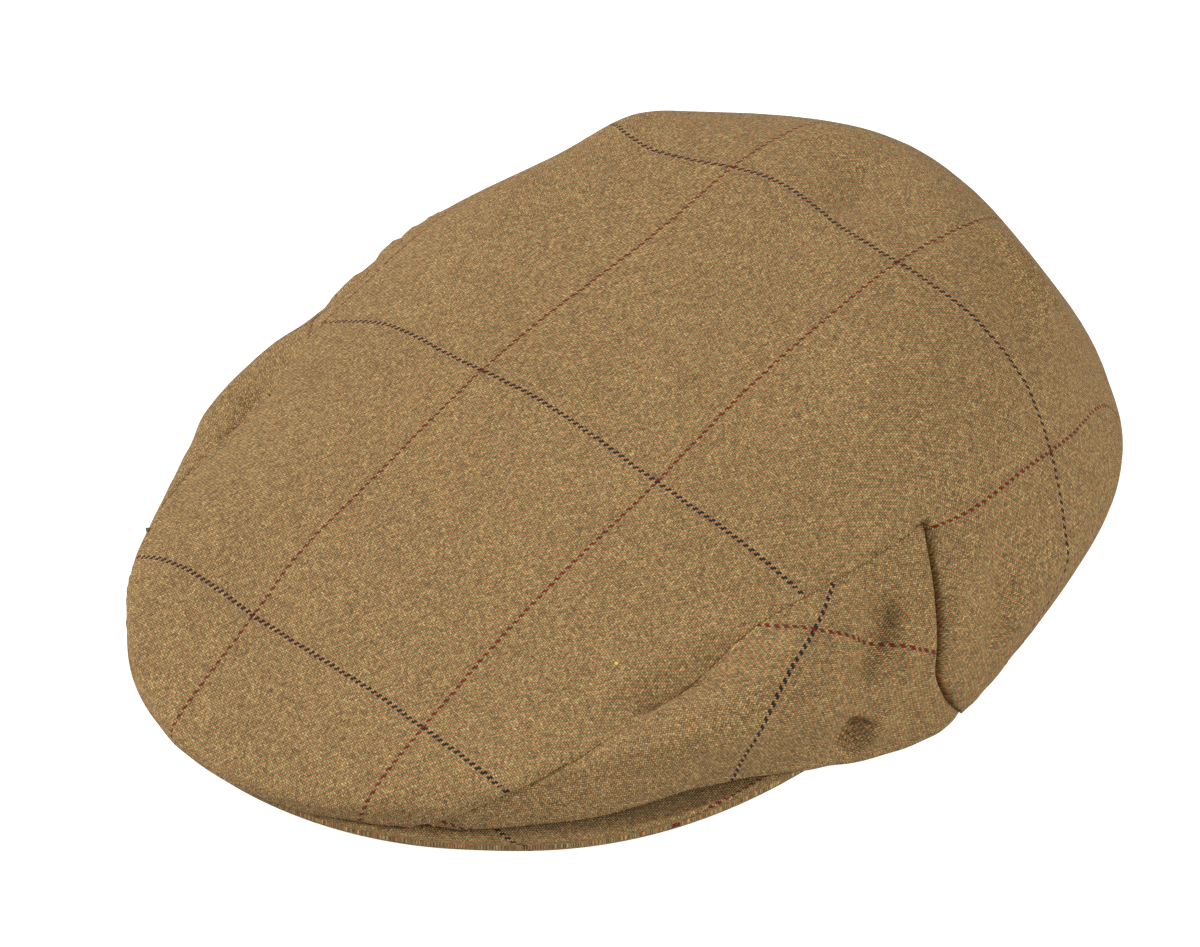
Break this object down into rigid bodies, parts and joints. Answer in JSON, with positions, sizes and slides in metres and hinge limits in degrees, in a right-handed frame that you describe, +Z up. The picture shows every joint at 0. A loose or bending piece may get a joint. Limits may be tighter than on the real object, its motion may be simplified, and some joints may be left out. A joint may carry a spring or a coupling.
{
  "type": "flat cap",
  "caption": "Tweed flat cap: long top panel, wedge side panels and a stiff peak under the front edge, resting on its rim.",
  "frame": {"origin": "on the surface that the cap rests on, under the middle of its bounding box", "axes": "+Z up, -Y towards the peak, +X towards the wearer's left"},
  "size_m": [0.2134, 0.275, 0.0836],
  "materials": {
    "tweed": "matte brown twill tweed with a thin dark and maroon overcheck",
    "peak_tweed": "matte brown twill tweed pulled tight over the peak"
  },
  "bodies": {
    "root": {"top_panel": "tweed", "side_panel_left": "tweed", "side_panel_right": "tweed", "peak": "peak_tweed"}
  },
  "joints": []
}
